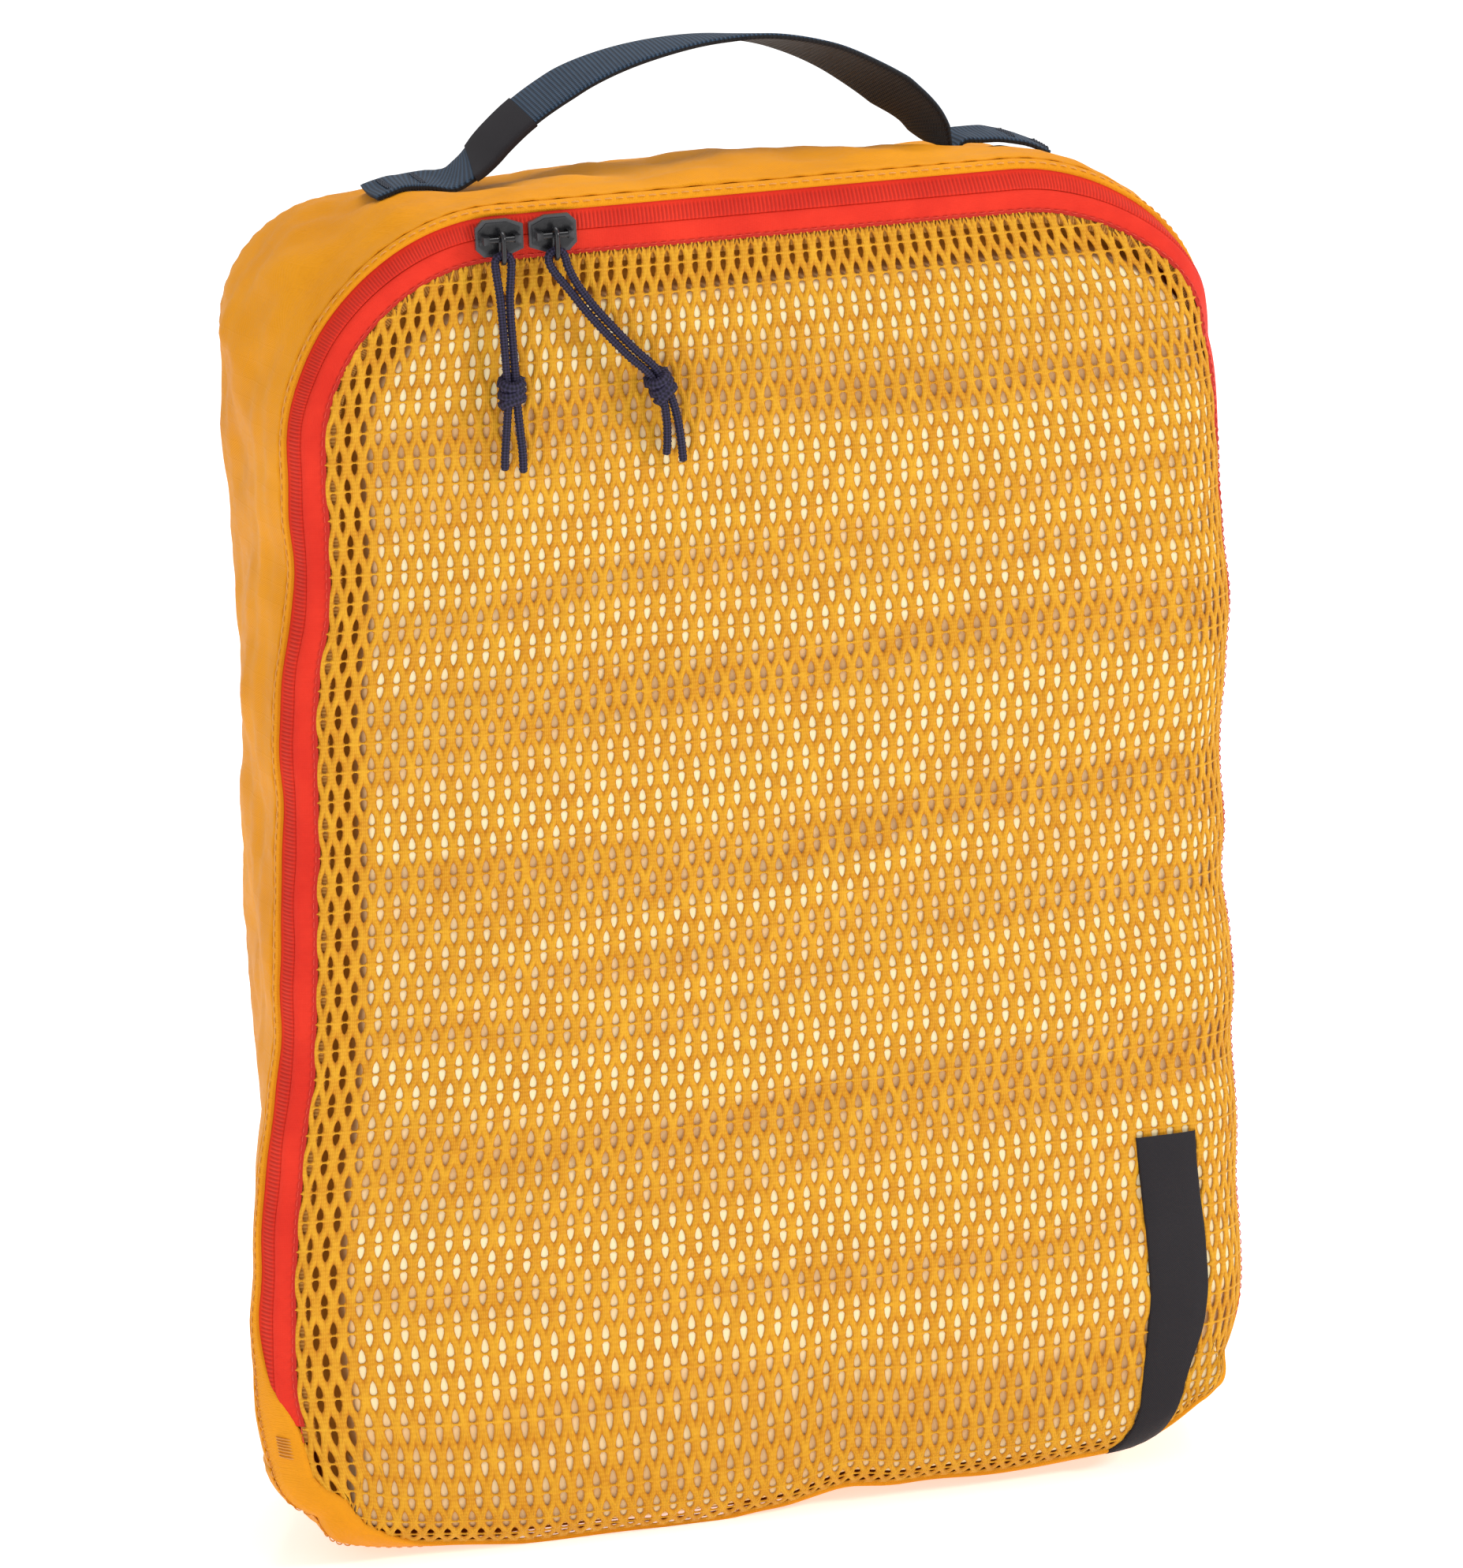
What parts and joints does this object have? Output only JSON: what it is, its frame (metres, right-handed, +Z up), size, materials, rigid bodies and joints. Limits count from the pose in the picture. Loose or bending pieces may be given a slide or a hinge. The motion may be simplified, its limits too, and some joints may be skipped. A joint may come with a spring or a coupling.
{
  "type": "packing cube",
  "caption": "Soft rectangular packing cube with a zipped mesh front flap, knotted cord pulls and a webbing carry handle.",
  "frame": {"origin": "centre of the flat base that it stands on", "axes": "+X across the front to the viewer's right, +Y from the mesh front to the back panel, +Z up towards the handle"},
  "size_m": [0.255, 0.0925, 0.4011],
  "materials": {
    "cloth": "plain-woven ripstop cloth with a soft coated sheen",
    "binding": "grosgrain seam binding",
    "net": "knitted polyester net",
    "zip_tape": "woven zip tape",
    "zip_coil": "nylon zip coil, sewn on the inside",
    "thread": "dense sewing thread",
    "label": "woven label, plain",
    "care_label": "printed satin label, left blank",
    "webbing": "flat ribbed webbing",
    "slider_metal": "black lacquered zinc and wire",
    "cord": "fine braided cord"
  },
  "bodies": {
    "bag": {"back_panel": "cloth", "side_gusset": "cloth", "base_gusset": "cloth", "front_border": "cloth", "base_border": "cloth", "front_seam_binding": "binding", "back_seam_binding": "binding", "base_net": "net", "zip_tape_outer": "zip_tape", "zip_coil_outer": "zip_coil", "zip_bartacks": "thread", "label_lower": "label", "care_label": "care_label", "handle_patch": "cloth", "handle_foot_left": "webbing", "handle_foot_right": "webbing", "handle_bartacks": "thread"},
    "flap": {"window_net": "net", "net_binding": "binding", "zip_tape_inner": "zip_tape", "zip_coil_inner": "zip_coil", "label_upper": "label"},
    "left_slider": {"slider_left": "slider_metal"},
    "right_slider": {"slider_right": "slider_metal"},
    "left_pull": {"pull_ring_left": "slider_metal"},
    "right_pull": {"pull_ring_right": "slider_metal"},
    "left_cord": {"cord_left_a": "cord", "cord_left_b": "cord", "knot_left": "cord"},
    "right_cord": {"cord_right_a": "cord", "cord_right_b": "cord", "knot_right": "cord"},
    "handle": {"handle_strap": "webbing", "handle_label": "label"}
  },
  "joints": [
    {"name": "flap_fold", "type": "hinge", "parent": "bag", "child": "flap", "pos_m": [0, -0.0402, 0.0343], "axis": [1, 0, 0], "range_deg": [0, 95]},
    {"name": "left_slider_travel", "type": "hinge", "parent": "bag", "child": "left_slider", "pos_m": [-0.0675, -0.04, 0.3], "axis": [0, -1, 0], "range_deg": [0, 60]},
    {"name": "right_slider_travel", "type": "slide", "parent": "bag", "child": "right_slider", "axis": [1, 0, 0], "range_m": [0, 0.121]},
    {"name": "left_ring_lift", "type": "hinge", "parent": "left_slider", "child": "left_pull", "pos_m": [-0.0675, -0.0449, 0.3455], "axis": [-1, 0, 0], "range_deg": [0, 120]},
    {"name": "right_ring_lift", "type": "hinge", "parent": "right_slider", "child": "right_pull", "pos_m": [-0.0535, -0.0449, 0.3455], "axis": [-1, 0, 0], "range_deg": [0, 120]},
    {"name": "left_cord_swing", "type": "hinge", "parent": "left_pull", "child": "left_cord", "pos_m": [-0.0675, -0.0449, 0.3395], "axis": [0, 1, 0], "range_deg": [0, 90]},
    {"name": "right_cord_swing", "type": "hinge", "parent": "right_pull", "child": "right_cord", "pos_m": [-0.0535, -0.0449, 0.3395], "axis": [0, -1, 0], "range_deg": [-30, 50]},
    {"name": "handle_swing", "type": "hinge", "parent": "bag", "child": "handle", "pos_m": [0, 0, 0.366], "axis": [1, 0, 0], "range_deg": [-60, 60]}
  ]
}
